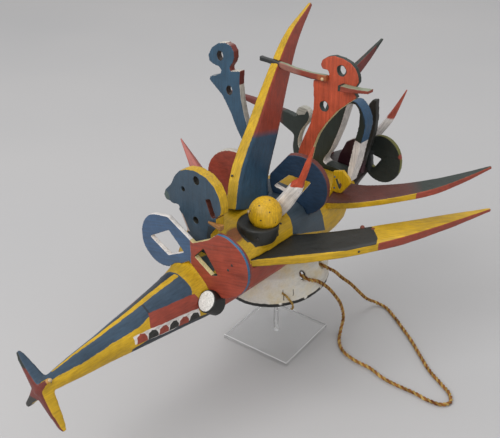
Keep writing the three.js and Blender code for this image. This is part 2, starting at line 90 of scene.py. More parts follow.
ROPE_ROUTE = [
    (65, 24, 183), (78, 35, 180), (88, 44, 172), (92, 60, 158), (92, 84, 133), (93, 118, 100),
    (94, 150, 64), (95, 184, 28), (103, 210, 8), (122, 214, 4), (150, 200, 4), (184, 178, 4),
    (218, 155, 4), (255, 126, 4), (292, 98, 4), (326, 80, 4), (350, 66, 4), (361, 48, 4),
    (352, 33, 4), (330, 27, 4), (300, 27, 4), (266, 24, 4), (236, 24, 4), (204, 31, 4),
    (168, 31, 4), (138, 38, 4), (114, 58, 4), (101, 80, 9), (97, 93, 32), (96, 83, 69),
    (96, 58, 107), (96, 28, 143), (95, -4, 172), (90, -19, 180), (80, -23, 184), (66, -22, 186),
]


def linear(colour):
    """A colour given as an sRGB hex value, turned to linear light."""
    channels = [(colour >> shift & 255) / 255 for shift in (16, 8, 0)]
    return [c / 12.92 if c <= 0.04045 else ((c + 0.055) / 1.055) ** 2.4 for c in channels] + [1]


def feed(tree, node, sockets):
    """Sets a node's inputs: each takes a plain value, or the output that is linked to it."""
    for name, value in sockets.items():
        if isinstance(value, bpy.types.NodeSocket):
            tree.links.new(value, node.inputs[name])
        else:
            node.inputs[name].default_value = value


def add(tree, kind, sockets, **settings):
    """One shader node: settings are its own, and sockets are values or outputs for its inputs."""
    new = tree.nodes.new("ShaderNode" + kind)
    for name, value in settings.items():
        setattr(new, name, value)
    feed(tree, new, sockets)
    return new


def new_finish(name):
    """An empty material, its node tree and its shader."""
    material = bpy.data.materials.new(name)
    material.use_nodes = True
    return material, material.node_tree, material.node_tree.nodes["Principled BSDF"]


def smooth_route(corners, step):
    """Evenly spaced points, in metres, along a smooth curve through corners given in mm."""
    corners = [Vector(corner) * MM for corner in corners]
    curve = []
    padded = [2 * corners[0] - corners[1], *corners, 2 * corners[-1] - corners[-2]]
    for a, b, c, d in zip(padded, padded[1:], padded[2:], padded[3:]):
        times = [0]
        for p, q in ((a, b), (b, c), (c, d)):
            times.append(times[-1] + (q - p).length ** 0.5)
        pieces = max(2, round((c - b).length / (step * MM)))
        for i in range(pieces):
            t = times[1] + (times[2] - times[1]) * i / pieces
            line = [a, b, c, d]
            for spans in (((0, 1), (1, 2), (2, 3)), ((0, 2), (1, 3)), ((1, 2),)):
                line = [
                    p.lerp(q, (t - times[first]) / (times[last] - times[first]))
                    for p, q, (first, last) in zip(line, line[1:], spans)
                ]
            curve.append(line[0])
    curve.append(corners[-1])
    return curve


def frames_along(line):
    """For each point of a line, two directions square to it that turn as little as they can."""
    tangents = [(b - a).normalized() for a, b in zip(line, line[1:])]
    tangents.append(tangents[-1])
    side = tangents[0].orthogonal().normalized()
    frames = []
    for tangent in tangents:
        side = (side - tangent * side.dot(tangent)).normalized()
        frames.append((side, tangent.cross(side)))
    return frames


def outwards(across, turn):
    """The direction that lies at a turn between the two square directions of a line."""
    side, up = across
    return side * math.cos(turn) + up * math.sin(turn)


def sweep(work, line, radii, sides, uv, finish=0):
    """A closed round tube along a line, with a map of turns round it and millimetres along it."""
    rings = []
    for point, across, radius in zip(line, frames_along(line), radii):
        turns = [2 * math.pi * i / sides for i in range(sides)]
        rings.append([work.verts.new(point + outwards(across, turn) * radius) for turn in turns])
    made = []
    along = 0
    for (a, b), (p, q) in zip(zip(rings, rings[1:]), zip(line, line[1:])):
        reach = along + (q - p).length / MM
        for i in range(sides):
            j = (i + 1) % sides
            face = work.faces.new((a[i], a[j], b[j], b[i]))
            face.smooth = True
            places = ((i, along), (i + 1, along), (i + 1, reach), (i, reach))
            for loop, (round_it, along_it) in zip(face.loops, places):
                loop[uv].uv = (round_it / sides, along_it)
            made.append(face)
        along = reach
    made.append(work.faces.new(reversed(rings[0])))
    made.append(work.faces.new(rings[-1]))
    for face in made:
        face.material_index = finish


def new_piece(name, work, slot, *materials):
    """A finished piece of the object from a bmesh."""
    mesh = bpy.data.meshes.new(name)
    work.to_mesh(mesh)
    work.free()
    piece = bpy.data.objects.new(name, mesh)
    scene.collection.objects.link(piece)
    for material in materials:
        mesh.materials.append(material)
    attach(piece, "root")
    return piece


def plant_fibre(name, dark, light):
    """Dry twisted bast: dark and straw-coloured strands run along the ply, faded in patches, and
    the surface is dull and rough, without any shine."""
    material, tree, shader = new_finish(name)
    place = add(tree, "UVMap", {}).outputs["UV"]
    strands = add(tree, "Mapping", {"Vector": place, "Scale": (STRANDS_ROUND, STRANDS_PER_MM, 1)})
    streak = add(tree, "TexNoise", {
        "Vector": strands.outputs["Vector"], "Scale": 1, "Detail": 5, "Roughness": 0.65,
    })
    space = add(tree, "TexCoord", {}).outputs["Object"]
    fade = add(tree, "TexNoise", {"Vector": space, "Scale": FADE_PER_M, "Detail": 2})
    mixed = add(tree, "Math", {0: streak.outputs["Fac"], 1: fade.outputs["Fac"]}, operation="ADD")
    ramp = add(tree, "MapRange", {"Value": mixed.outputs["Value"], "From Min": 0.78, "From Max": 1.22})
    colour = add(tree, "Mix", {
        0: ramp.outputs["Result"], 6: linear(dark), 7: linear(light),
    }, data_type="RGBA")
    bump = add(tree, "Bump", {
        "Height": streak.outputs["Fac"], "Strength": 0.9, "Distance": FIBRE_RELIEF,
    })
    feed(tree, shader, {
        "Base Color": colour.outputs[2], "Normal": bump.outputs["Normal"],
        "Roughness": FIBRE_ROUGH, "Specular IOR Level": 0.25,
    })
    return material


bast_brown = plant_fibre("rope_bast_brown", *BROWN_BAST)
bast_straw = plant_fibre("rope_bast_straw", *STRAW_BAST)
rope_line = smooth_route(ROPE_ROUTE, ROPE_STEP)
rope_frames = frames_along(rope_line)
work = bmesh.new()
uv = work.loops.layers.uv.new("UVMap")
rng = random.Random(7)
along = 0
turns = []
for p, q in zip(rope_line, rope_line[1:] + rope_line[-1:]):
    turns.append(2 * math.pi * along / (LAY_LENGTH * MM))
    along += (q - p).length
for ply in (0, 1):
    ply_line = []
    radii = []
    for centre, across, turn in zip(rope_line, rope_frames, turns):
        point = centre + outwards(across, turn + ply * math.pi) * PLY_OFFSET * MM
        swell = noise.noise(point * UNEVEN_PER_M + Vector((0, 0, 5 * ply)))
        ply_line.append(point)
        radii.append(PLY_RADIUS * MM * (1 + PLY_UNEVEN * swell))
    sweep(work, ply_line, radii, PLY_SIDES, uv, ply)
for hair in range(HAIRS):
    start = rng.randrange(BARE_STEPS[0], len(rope_line) - BARE_STEPS[1])
    out = outwards(rope_frames[start], rng.uniform(0, 2 * math.pi))
    tip_out = out * rng.uniform(*HAIR_TIP) * MM
    ahead = (rope_line[start + HAIR_REACH] - rope_line[start]) * rng.uniform(0.4, 1)
    hair_line = [
        rope_line[start] + out * HAIR_FOOT * MM,
        rope_line[start] + out * HAIR_BEND * MM + ahead * 0.5,
        rope_line[start] + tip_out + ahead,
    ]
    sweep(work, hair_line, [radius * MM for radius in HAIR_RADII], HAIR_SIDES, uv, hair % 2)
rope = new_piece("twisted_rope", work, "fibre", bast_brown, bast_straw)
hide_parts("rope")


# Knots and rim tie: each end of the rope is stopped by a hard knot inside the bowl, tied in the brown
# bast. A short tie of two thin straw-coloured strands is passed through the bowl's side and hangs
# over its rim.
KNOTS_AT = ((57, 17, 184.5), (57, -21.5, 187))
KNOT_SCALE = 2.17
KNOT_THICK = 3
KNOT_DEPTH = 1.3
KNOT_POINTS = 72
TIE_ROUTE = [
    (67, -69, 167), (73, -66.5, 163), (78.5, -62, 154), (83, -58, 143), (83, -57, 135), (80, -57, 131),
]
TIE_OFFSET = 1.15
TIE_RADIUS = 1.265
TIE_STRANDS = 2
TIE_TWIST = 0.8
TIE_SIDES = 8

work = bmesh.new()
uv = work.loops.layers.uv.new("UVMap")
for knot_at in KNOTS_AT:
    knot_line = []
    for i in range(KNOT_POINTS + 1):
        t = 2 * math.pi * i / KNOT_POINTS
        trefoil = Vector((
            math.sin(t) + 2 * math.sin(2 * t),
            math.cos(t) - 2 * math.cos(2 * t),
            -KNOT_DEPTH * math.sin(3 * t),
        ))
        knot_line.append((Vector(knot_at) + trefoil * KNOT_SCALE) * MM)
    sweep(work, knot_line, [KNOT_THICK * MM] * len(knot_line), PLY_SIDES, uv)
new_piece("rope_knots", work, "fibre", bast_brown)

work = bmesh.new()
uv = work.loops.layers.uv.new("UVMap")
tie_line = smooth_route(TIE_ROUTE, ROPE_STEP)
tie_frames = frames_along(tie_line)
for strand in range(TIE_STRANDS):
    strand_line = [
        point + outwards(across, TIE_TWIST * i + math.pi * strand) * TIE_OFFSET * MM
        for i, (point, across) in enumerate(zip(tie_line, tie_frames))
    ]
    sweep(work, strand_line, [TIE_RADIUS * MM] * len(strand_line), TIE_SIDES, uv)
new_piece("rim_tie", work, "fibre", bast_straw)


# Floor and light: a wide ground of matt grey paper, a shade lighter in broad soft patches. Two large
# lamps light it from in front and above, a weaker one from the near side, under an even pale sky.
FLOOR_HALF = 9
FLOOR_SQUARES = 8
FLOOR_PATCHES_PER_M = 1.1
FLOOR_DARK = 0xB6B6B7
FLOOR_LIGHT = 0xC2C0BF
PAPER_ROUGH = 0.85
SKY = 0xEDEDEE
SKY_STRENGTH = 0.7
LAMPS_AIM = Vector((0, 0, 0.25))

work = bmesh.new()
bmesh.ops.create_grid(work, x_segments=FLOOR_SQUARES, y_segments=FLOOR_SQUARES, size=FLOOR_HALF)
floor_mesh = bpy.data.meshes.new("floor")
work.to_mesh(floor_mesh)
work.free()
floor = bpy.data.objects.new("floor", floor_mesh)
scene.collection.objects.link(floor)
paper, tree, shader = new_finish("grey_paper")
place = add(tree, "TexCoord", {}).outputs["Object"]
cloud = add(tree, "TexNoise", {"Vector": place, "Scale": FLOOR_PATCHES_PER_M, "Detail": 2})
colour = add(tree, "Mix", {
    0: cloud.outputs["Fac"], 6: linear(FLOOR_DARK), 7: linear(FLOOR_LIGHT),
}, data_type="RGBA")
feed(tree, shader, {"Base Color": colour.outputs[2], "Roughness": PAPER_ROUGH})
floor_mesh.materials.append(paper)

world = bpy.data.worlds.new("studio")
scene.world = world
world.use_nodes = True
feed(world.node_tree, world.node_tree.nodes["Background"], {
    "Color": linear(SKY), "Strength": SKY_STRENGTH,
})
scene.view_settings.view_transform = "Standard"

for name, at, size, power in (
    ("soft_key", (-0.7, -2.8, 3.1), 2.4, 72),
    ("soft_top", (-0.2, 1.8, 4.0), 3.0, 34),
    ("soft_fill", (2.6, -2.2, 2.2), 2.0, 22),
):
    lamp = bpy.data.lights.new(name, "AREA")
    lamp.shape = "DISK"
    lamp.size = size
    lamp.energy = power
    holder = bpy.data.objects.new(name, lamp)
    holder.location = at
    holder.rotation_euler = (LAMPS_AIM - Vector(at)).to_track_quat("-Z", "Y").to_euler()
    scene.collection.objects.link(holder)


# Stand: a square of clear cast acrylic sheet with slightly broken edges, and a clear rod that is
# cemented to its middle with a small collar. The rod reaches up inside the bowl, just under its roof.
PLATE_SIDE = 148
PLATE_THICK = 10
PLATE_TURN = 5
PLATE_CHAMFER = 0.7
CHAMFER_RISE = (0.2, 0.98)
ROD_RADIUS = 5
ROD_SIDES = 40
COLLAR_RADIUS = 6.7
ROD_FOOT = 10.1
ROD_TOP = 213.2
ROD_CHAMFER = 1.2
ROD_PROFILE = [
    (0, ROD_FOOT), (COLLAR_RADIUS, ROD_FOOT), (COLLAR_RADIUS, ROD_FOOT + 0.8),
    (ROD_RADIUS + 0.4, ROD_FOOT + 1.9), (ROD_RADIUS, ROD_FOOT + 3.3),
    (ROD_RADIUS, ROD_TOP - ROD_CHAMFER), (ROD_RADIUS - ROD_CHAMFER, ROD_TOP), (0, ROD_TOP),
]
MERGE_WITHIN = 1e-6
ACRYLIC_IOR = 1.49
SCUFFS_PER_M = 260
SCUFF_HAZE = 0.09
CLEAR = 0xFFFFFF


def clear_acrylic(name, haze, clearness, opacity):
    """Cast acrylic: clear as water, with faint scuffs some 4 mm apart that catch the light. Its
    opacity is below one, so that the ground under it stays as light as it is beside it."""
    material, tree, shader = new_finish(name)
    place = add(tree, "TexCoord", {}).outputs["Object"]
    scuffs = add(tree, "TexNoise", {"Vector": place, "Scale": SCUFFS_PER_M, "Detail": 3})
    rough = add(tree, "MapRange", {
        "Value": scuffs.outputs["Fac"], "From Min": 0.4, "From Max": 0.8,
        "To Min": haze, "To Max": haze + SCUFF_HAZE,
    })
    feed(tree, shader, {
        "Base Color": linear(CLEAR), "Roughness": rough.outputs["Result"],
        "Transmission Weight": clearness, "IOR": ACRYLIC_IOR, "Alpha": opacity,
    })
    return material


def turned(work, profile, steps, at=(0, 0, 0), axis=(0, 0, 1)):
    """A turned form: the profile's radius and height pairs, spun round the axis through a point,
    in mm."""
    before = set(work.verts)
    start = [work.verts.new(Vector((radius, 0, height)) * MM) for radius, height in profile]
    edges = [work.edges.new(pair) for pair in zip(start, start[1:])]
    bmesh.ops.spin(
        work, geom=start + edges, cent=(0, 0, 0), axis=(0, 0, 1), angle=2 * math.pi, steps=steps,
        use_merge=True,
    )
    bmesh.ops.remove_doubles(work, verts=[v for v in work.verts if v not in before], dist=MERGE_WITHIN)
    verts = [v for v in work.verts if v not in before]
    turn = Vector((0, 0, 1)).rotation_difference(Vector(axis)).to_matrix()
    bmesh.ops.rotate(work, cent=(0, 0, 0), matrix=turn, verts=verts)
    bmesh.ops.translate(work, vec=Vector(at) * MM, verts=verts)
    made = list({face for vert in verts for face in vert.link_faces})
    for face in made:
        face.smooth = True
    bmesh.ops.recalc_face_normals(work, faces=made)


# The sheet and rod are almost free of haze; the broken edge is frosted and shows as a pale line.
acrylic = clear_acrylic("clear_cast_acrylic", haze=0.03, clearness=1, opacity=0.6)
sawn_acrylic = clear_acrylic("sawn_acrylic_edge", haze=0.3, clearness=0.1, opacity=0.9)

work = bmesh.new()
bmesh.ops.create_cube(work, size=1)
bmesh.ops.scale(work, vec=Vector((PLATE_SIDE, PLATE_SIDE, PLATE_THICK)) * MM, verts=work.verts)
bmesh.ops.bevel(
    work, geom=work.edges[:], offset=PLATE_CHAMFER * MM, segments=2, affect="EDGES", profile=0.5,
    material=-1,
)
for face in work.faces:
    if CHAMFER_RISE[0] < face.normal.z < CHAMFER_RISE[1]:
        face.material_index = 1
plate_turn = Matrix.Rotation(math.radians(PLATE_TURN), 3, "Z")
bmesh.ops.translate(work, vec=(0, 0, PLATE_THICK / 2 * MM), verts=work.verts)
bmesh.ops.rotate(work, cent=(0, 0, 0), matrix=plate_turn, verts=work.verts)
plate = new_piece("acrylic_plate", work, "clear_plastic", acrylic, sawn_acrylic)
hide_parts("stand_plate")

work = bmesh.new()
turned(work, ROD_PROFILE, ROD_SIDES)
rod = new_piece("acrylic_rod", work, "clear_plastic", acrylic)
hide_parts("stand_rod")


# Body: head, snout, tail fin and trunk are one log of pale light wood, cut with adze and knife and
# brushed with household oil paint. The snout is blue over yellow with a yellow ridge, the cheek is
# red over a band of white teeth, and the trunk carries the boards and horns.
YELLOW = 0xC9A010
RED = 0x98402E
BLACK = 0x262724
BRIGHT_WHITE = 0xE5DFDA
GREEN_BLACK = 0x25302A
NAVY = 0x27303A
SLATE = 0x3B4A55
BODY_BLUE = 0x33495C
RUMP_BROWN = 0x2E2422
FIN_RED = 0x702E26
RUBBED_BROWN = 0x8F5526
SHADE_BEHIND_DISC_BLUE = 0x2C3F44
PEG_TAN = 0xD09A50
BARE_WOOD = 0x6B4E30
DARK_BROWN = 0x2A2019

# The paint's patterns, per mm: a brush wanders about every 11 mm, tones change every 33, rubbed
# patches lie 6 apart and chips 4.5, knife marks 13, and a streak is 50 long and 2.5 wide. Real
# bristle marks are finer than the render can show, so the streaks are drawn this coarse.
WANDER_PER_MM = 0.09
CLOUD_PER_MM = 0.03
PATCH_PER_MM = 0.16
CHIP_PER_MM = 0.22
KNIFE_PER_MM = 0.075
STREAK_PER_MM = (0.02, 0.4, 0.4)
EDGE_BLEND = 0.35
CORNER_BLEND = 0.05
ROUGH_RANGE = (0.36, 0.6)
MIDDLE = (0.3, 0.7)
STREAK_DARK = 0.34
STREAK_LIGHT = 0.2
TONE_RANGE = (0.8, 1.14)
CHIP_RANGE = (0.7, 0.73)
STAIN_RANGE = (0.42, 0.66)
KNIFE_RELIEF = 0.0014

# A knife rounds the corners, and leaves swells and smaller dents of these widths, in mm.
KNIFE_CUT = 0.5
SWELL_SPAN = 38
DENT_SPAN = 11

# Painted areas of the snout and head, then of the trunk, its dish and the tail fin. Outlines are in
# mm, in the two axes that inside() is given with each; a spot is a place and a radius.
TOP_BLUE = [(-518, 229), (-462, 232), (-362, 242.5), (-338, 249), (-338, 300), (-518, 300)]
BROW_BLUE = [(-338, 250), (-262, 251), (-257, 262), (-259, 300), (-338, 300)]
FAR_TOP_SHADE = [(-518, 231), (-338, 252), (-262, 256), (-262, 300), (-518, 300)]
SNOUT_SEAM = [(-339.5, 240), (-336.5, 240), (-336.5, 300), (-339.5, 300)]
RIDGE = [(-518, -3), (-260, -4), (-260, 8), (-430, 2.5), (-518, 0.5)]
CHEEK = [(-347, 236), (-339, 252), (-257, 253), (-248, 232), (-256, 223), (-340, 229)]
JAW = [(-383, 214), (-349, 218), (-203, 205), (-203, 150), (-383, 150)]
TOOTH_BAND = [
    (-379, 234), (-345, 234), (-256, 227), (-252, 211), (-306, 210), (-350, 216), (-378, 221),
]
TEETH = 6
TOOTH_STEP = 20.2
TOOTH_DROP = 2.3
FIRST_TOOTH = (-364, 220)
TOOTH_OUTLINE = [(-10.5, -1), (-8, 9), (-2, 14), (5, 12), (9, 4), (9.5, -3)]
FLANK = [(-224, 268), (-140, 279), (-60, 279), (-60, 150), (-224, 150)]
SADDLE = [(-50, 340), (14, 340), (26, 303), (43, 251), (-57, 288)]
HAUNCH = [(78, 200), (100, 246), (140, 206)]
RUMP_FROM = 150
RUBBED_AT = (34, -157, 316, 15)
SHADE_BEHIND_DISC_AT = (24, -214, 283, 17)
DISH_AT = (52, -117)
DISH_REACH = 36.5
DISH_RIM = 309
DISH_FLOOR = 301
FIN_FROM = 506
FIN_BLUE = [(-60, 280), (3, 280), (3, 224), (-60, 224)]
FIN_LOW = [(-60, 192), (-6, 202), (46, 156), (46, 150), (-60, 150)]
FIN_FAR_TIP = [(-60, 290), (-28, 290), (-20, 246), (-60, 246)]
FIN_LOW_TIP = [(-60, 190), (-22, 190), (-22, 150), (-60, 150)]
FIN_PEG_AT = (17, -521, 241, 7)


# Each test bounds a painted area; an area is where all of its tests hold.
def past(x, y, z, distance):
    """Holds beyond a plane that is square to a direction and that many mm from the origin."""
    return "place", Vector((x, y, z)).normalized(), distance


def faces(x, y, z, least=0.7):
    """Holds where the surface looks that way."""
    return "way", Vector((x, y, z)).normalized(), least


def around(x, y, z, radius, axes="xyz"):
    """Holds within a radius of a point, in mm, or of a line where an axis is left out."""
    return "around", (Vector((x, y, z)), Vector([float(axis in axes) for axis in "xyz"])), radius


def inside(axes, corners):
    """Holds inside a convex outline drawn in two of the axes, in mm."""
    first, second = ("xyz".index(axis) for axis in axes)
    points = []
    for a, b in corners:
        point = Vector((0, 0, 0))
        point[first], point[second] = a, b
        points.append(point)
    middle = sum(points, Vector((0, 0, 0))) / len(points)
    tests = []
    for p, q in zip(points, points[1:] + points[:1]):
        square = Vector((0, 0, 0))
        square[first], square[second] = q[second] - p[second], p[first] - q[first]
        square.normalize()
        distance = square.dot(p)
        if square.dot(middle) < distance:
            square, distance = -square, -distance
        tests.append(("place", square, distance))
    return tests


def paint(name, base, areas, grain, wobble=1.6, wear=0.6, stain=None, contrast=1):
    """Brushed oil paint on carved wood. Areas are painted over the base in order, each a colour, the
    tests that bound it and, where the colours were brushed into each other, the width of the blend.
    Edges wobble as a brush leaves them, streaks run along the grain, bare wood shows on rubbed
    corners, the hollows are darker in patches, and the gloss is dull and uneven."""
    material, tree, shader = new_finish(name)
    object_place = add(tree, "TexCoord", {}).outputs["Object"]
    place = add(tree, "VectorMath", {0: object_place, "Scale": 1 / MM}, operation="SCALE").outputs[0]
    shape = add(tree, "NewGeometry", {})

    # The place and the way of the surface, both shaken as an unsteady brush would.
    shake = add(tree, "TexNoise", {
        "Vector": place, "Scale": WANDER_PER_MM, "Detail": 3, "Roughness": 0.6,
    })
    shake = add(tree, "VectorMath", {
        0: shake.outputs["Color"], 1: (0.5, 0.5, 0.5),
    }, operation="SUBTRACT")
    shake = add(tree, "VectorMath", {0: shake.outputs[0], "Scale": 2 * wobble}, operation="SCALE")
    brushed = add(tree, "VectorMath", {0: place, 1: shake.outputs[0]}, operation="ADD").outputs[0]
    way = add(tree, "VectorMath", {
        0: shake.outputs[0], "Scale": CORNER_BLEND / wobble,
    }, operation="SCALE")
    way = add(tree, "VectorMath", {
        0: shape.outputs["Normal"], 1: way.outputs[0],
    }, operation="ADD").outputs[0]

    # Streaks along the grain, and wide patches of tone.
    turn = Vector(grain).normalized().rotation_difference(Vector((1, 0, 0))).to_euler()
    lined = add(tree, "Mapping", {"Vector": place, "Rotation": turn})
    lined = add(tree, "VectorMath", {
        0: lined.outputs["Vector"], 1: STREAK_PER_MM,
    }, operation="MULTIPLY")
    streak = add(tree, "TexNoise", {
        "Vector": lined.outputs[0], "Scale": 1, "Detail": 5, "Roughness": 0.65,
    }).outputs["Fac"]
    cloud = add(tree, "TexNoise", {
        "Vector": place, "Scale": CLOUD_PER_MM, "Detail": 4, "Roughness": 0.62,
    }).outputs["Fac"]

    # The flat colours, area over area.
    colour = linear(base)
    if stain is not None:
        patch = add(tree, "MapRange", {
            "Value": cloud, "From Min": STAIN_RANGE[0], "From Max": STAIN_RANGE[1],
        })
        colour = add(tree, "Mix", {
            0: patch.outputs["Result"], 6: colour, 7: linear(stain),
        }, data_type="RGBA").outputs[2]
    for area_colour, tests, *blend in areas:
        soft = blend[0] / 2 if blend else EDGE_BLEND
        mask = None
        for kind, where, least in tests:
            if kind == "around":
                centre, axes = where
                away = add(tree, "VectorMath", {0: brushed, 1: centre}, operation="SUBTRACT")
                away = add(tree, "VectorMath", {0: away.outputs[0], 1: axes}, operation="MULTIPLY")
                value = add(tree, "VectorMath", {0: away.outputs[0]}, operation="LENGTH")
                limits = (least + soft, least - soft)
            else:
                source, half = (brushed, soft) if kind == "place" else (way, CORNER_BLEND)
                value = add(tree, "VectorMath", {0: source, 1: where}, operation="DOT_PRODUCT")
                limits = (least - half, least + half)
            step = add(tree, "MapRange", {
                "Value": value.outputs["Value"], "From Min": limits[0], "From Max": limits[1],
            }).outputs["Result"]
            if mask is None:
                mask = step
            else:
                mask = add(tree, "Math", {0: mask, 1: step}, operation="MINIMUM").outputs[0]
        colour = add(tree, "Mix", {
            0: mask, 6: colour, 7: linear(area_colour),
        }, data_type="RGBA").outputs[2]

    # Streaks and tone make the flat colours lighter and darker.
    dark = add(tree, "MapRange", {
        "Value": streak, "From Min": MIDDLE[0], "From Max": MIDDLE[1],
        "To Min": 1 - STREAK_DARK * contrast, "To Max": 1 + STREAK_LIGHT * contrast,
    }).outputs["Result"]
    tone = add(tree, "MapRange", {
        "Value": cloud, "From Min": MIDDLE[0], "From Max": MIDDLE[1],
        "To Min": TONE_RANGE[0], "To Max": TONE_RANGE[1],
    }).outputs["Result"]
    value = add(tree, "Math", {0: dark, 1: tone}, operation="MULTIPLY").outputs[0]
    toned = add(tree, "HueSaturation", {"Color": colour, "Value": value}).outputs["Color"]

    # Bare wood on sharp corners and darker hollows, in patches, and small dark chips anywhere.
    patchy = add(tree, "TexNoise", {
        "Vector": place, "Scale": PATCH_PER_MM, "Detail": 5, "Roughness": 0.7,
    }).outputs["Fac"]
    for finish, edge, least, most in (
        (BARE_WOOD, (0.53, 0.6), 0.48, 0.6),
        (DARK_BROWN, (0.475, 0.42), 0.35, 0.6),
    ):
        corner = add(tree, "MapRange", {
            "Value": shape.outputs["Pointiness"], "From Min": edge[0], "From Max": edge[1],
        }).outputs["Result"]
        chance = add(tree, "MapRange", {
            "Value": patchy, "From Min": least, "From Max": most,
        }).outputs["Result"]
        amount = add(tree, "Math", {0: corner, 1: chance}, operation="MULTIPLY").outputs[0]
        amount = add(tree, "Math", {0: amount, 1: wear}, operation="MULTIPLY").outputs[0]
        toned = add(tree, "Mix", {0: amount, 6: toned, 7: linear(finish)}, data_type="RGBA").outputs[2]
    chip = add(tree, "TexNoise", {
        "Vector": place, "Scale": CHIP_PER_MM, "Detail": 3, "Roughness": 0.75,
    }).outputs["Fac"]
    chip = add(tree, "MapRange", {
        "Value": chip, "From Min": CHIP_RANGE[0], "From Max": CHIP_RANGE[1], "To Max": wear,
    }).outputs["Result"]
    toned = add(tree, "Mix", {0: chip, 6: toned, 7: linear(DARK_BROWN)}, data_type="RGBA").outputs[2]

    # Uneven gloss, brush ridges and shallow knife marks.
    rough = add(tree, "MapRange", {
        "Value": streak, "From Min": MIDDLE[0], "From Max": MIDDLE[1],
        "To Min": ROUGH_RANGE[0], "To Max": ROUGH_RANGE[1],
    })
    marks = add(tree, "TexNoise", {"Vector": place, "Scale": KNIFE_PER_MM, "Detail": 2})
    height = add(tree, "Math", {0: streak, 1: 0.4}, operation="MULTIPLY")
    height = add(tree, "Math", {0: marks.outputs["Fac"], 1: height.outputs[0]}, operation="ADD")
    bump = add(tree, "Bump", {
        "Height": height.outputs[0], "Strength": 0.6 * contrast, "Distance": KNIFE_RELIEF,
    })
    feed(tree, shader, {
        "Base Color": toned, "Roughness": rough.outputs["Result"], "Normal": bump.outputs["Normal"],
    })
    return material


def carve(node, voxel, material, slot, rounds=2, uneven=0.5):
    """The solid again as cut wood: its corners are knocked round, and its faces are left uneven in
    wide swells and small dents. Sizes are in mm."""
    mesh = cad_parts[node].data.copy()
    mesh.materials.clear()
    work = bmesh.new()
    work.from_mesh(mesh)
    bmesh.ops.remove_doubles(work, verts=work.verts, dist=MERGE_WITHIN)
    work.to_mesh(mesh)
    work.free()
    block = bpy.data.objects.new("block", mesh)
    scene.collection.objects.link(block)
    grid = block.modifiers.new("grid", "REMESH")
    grid.mode = "VOXEL"
    grid.voxel_size = voxel * MM
    knife = block.modifiers.new("knife", "SMOOTH")
    knife.factor = KNIFE_CUT
    knife.iterations = rounds
    bpy.context.view_layer.update()
    graph = bpy.context.evaluated_depsgraph_get()
    cut = bpy.data.meshes.new_from_object(block.evaluated_get(graph))
    bpy.data.objects.remove(block)
    work = bmesh.new()
    work.from_mesh(cut)
    work.normal_update()
    moves = []
    for vert in work.verts:
        at = vert.co / MM
        amount = 0.75 * noise.noise(at / SWELL_SPAN) + 0.25 * noise.noise(at / DENT_SPAN)
        moves.append(vert.normal * amount * uneven * MM)
    for vert, move in zip(work.verts, moves):
        vert.co += move
    for face in work.faces:
        face.smooth = True
    piece = new_piece(node + "_wood", work, slot, material)
    bpy.data.meshes.remove(cut)
    bpy.data.meshes.remove(mesh)
    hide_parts(node)


tooth_areas = []
for tooth in range(TEETH):
    y = FIRST_TOOTH[0] + tooth * TOOTH_STEP
    z = FIRST_TOOTH[1] - tooth * TOOTH_DROP
    corners = [(y + along, z + up) for along, up in TOOTH_OUTLINE]
    tooth_areas.append((RED if tooth % 2 == 0 else BLACK, inside("yz", corners)))
fin = past(0, -1, 0, FIN_FROM)
# Oil paint in broad strokes, a little less streaked than on the boards; it looks dull and worn.
body_paint = paint("body_oil_paint", YELLOW, [
    (BODY_BLUE, inside("yz", TOP_BLUE)),
    (BODY_BLUE, inside("yz", BROW_BLUE)),
    # Painted shade: the far side of the snout's top is painted a darker navy than the near side's
    # blue.
    (NAVY, inside("yz", FAR_TOP_SHADE) + [past(-1, 0, 0, 4)]),
    (NAVY, inside("yz", SNOUT_SEAM)),
    (YELLOW, inside("yx", RIDGE) + [faces(0, 0, 1, 0.2)]),
    (RED, inside("yz", CHEEK)),
    (NAVY, inside("yz", JAW)),
    (BRIGHT_WHITE, inside("yz", TOOTH_BAND)),
    *tooth_areas,
    (RED, inside("yz", FLANK)),
    (SLATE, inside("yz", SADDLE)),
    (RED, inside("yz", HAUNCH)),
    (RUMP_BROWN, [past(0, 1, 0, RUMP_FROM)]),
    (RUBBED_BROWN, [around(*RUBBED_AT)], 5),
    # Painted shade: a dark blue patch on the trunk's front behind the near lobe of the double disc,
    # seen through the lobe's hole.
    (SHADE_BEHIND_DISC_BLUE, [around(*SHADE_BEHIND_DISC_AT)], 3),
    (BLACK, [around(*DISH_AT, 0, DISH_REACH, "xy"), past(0, 0, 1, DISH_RIM)]),
    (BLACK, [around(*DISH_AT, 0, DISH_REACH - 3, "xy"), past(0, 0, 1, DISH_FLOOR)]),
    (BODY_BLUE, inside("xz", FIN_BLUE) + [fin]),
    (FIN_RED, [fin, faces(0, -1, 0, 0.55)]),
    (BLACK, inside("xz", FIN_LOW) + [fin, faces(0, -1, 0, 0.4)]),
    (GREEN_BLACK, inside("xz", FIN_FAR_TIP) + [fin, faces(0, -1, 0, 0.55)]),
    (BLACK, inside("xz", FIN_LOW_TIP) + [fin]),
    (PEG_TAN, [around(*FIN_PEG_AT)], 2),
], (0, 1, 0), contrast=0.8)
carve("carved_body", 2.4, body_paint, "yellow_paint", rounds=3)


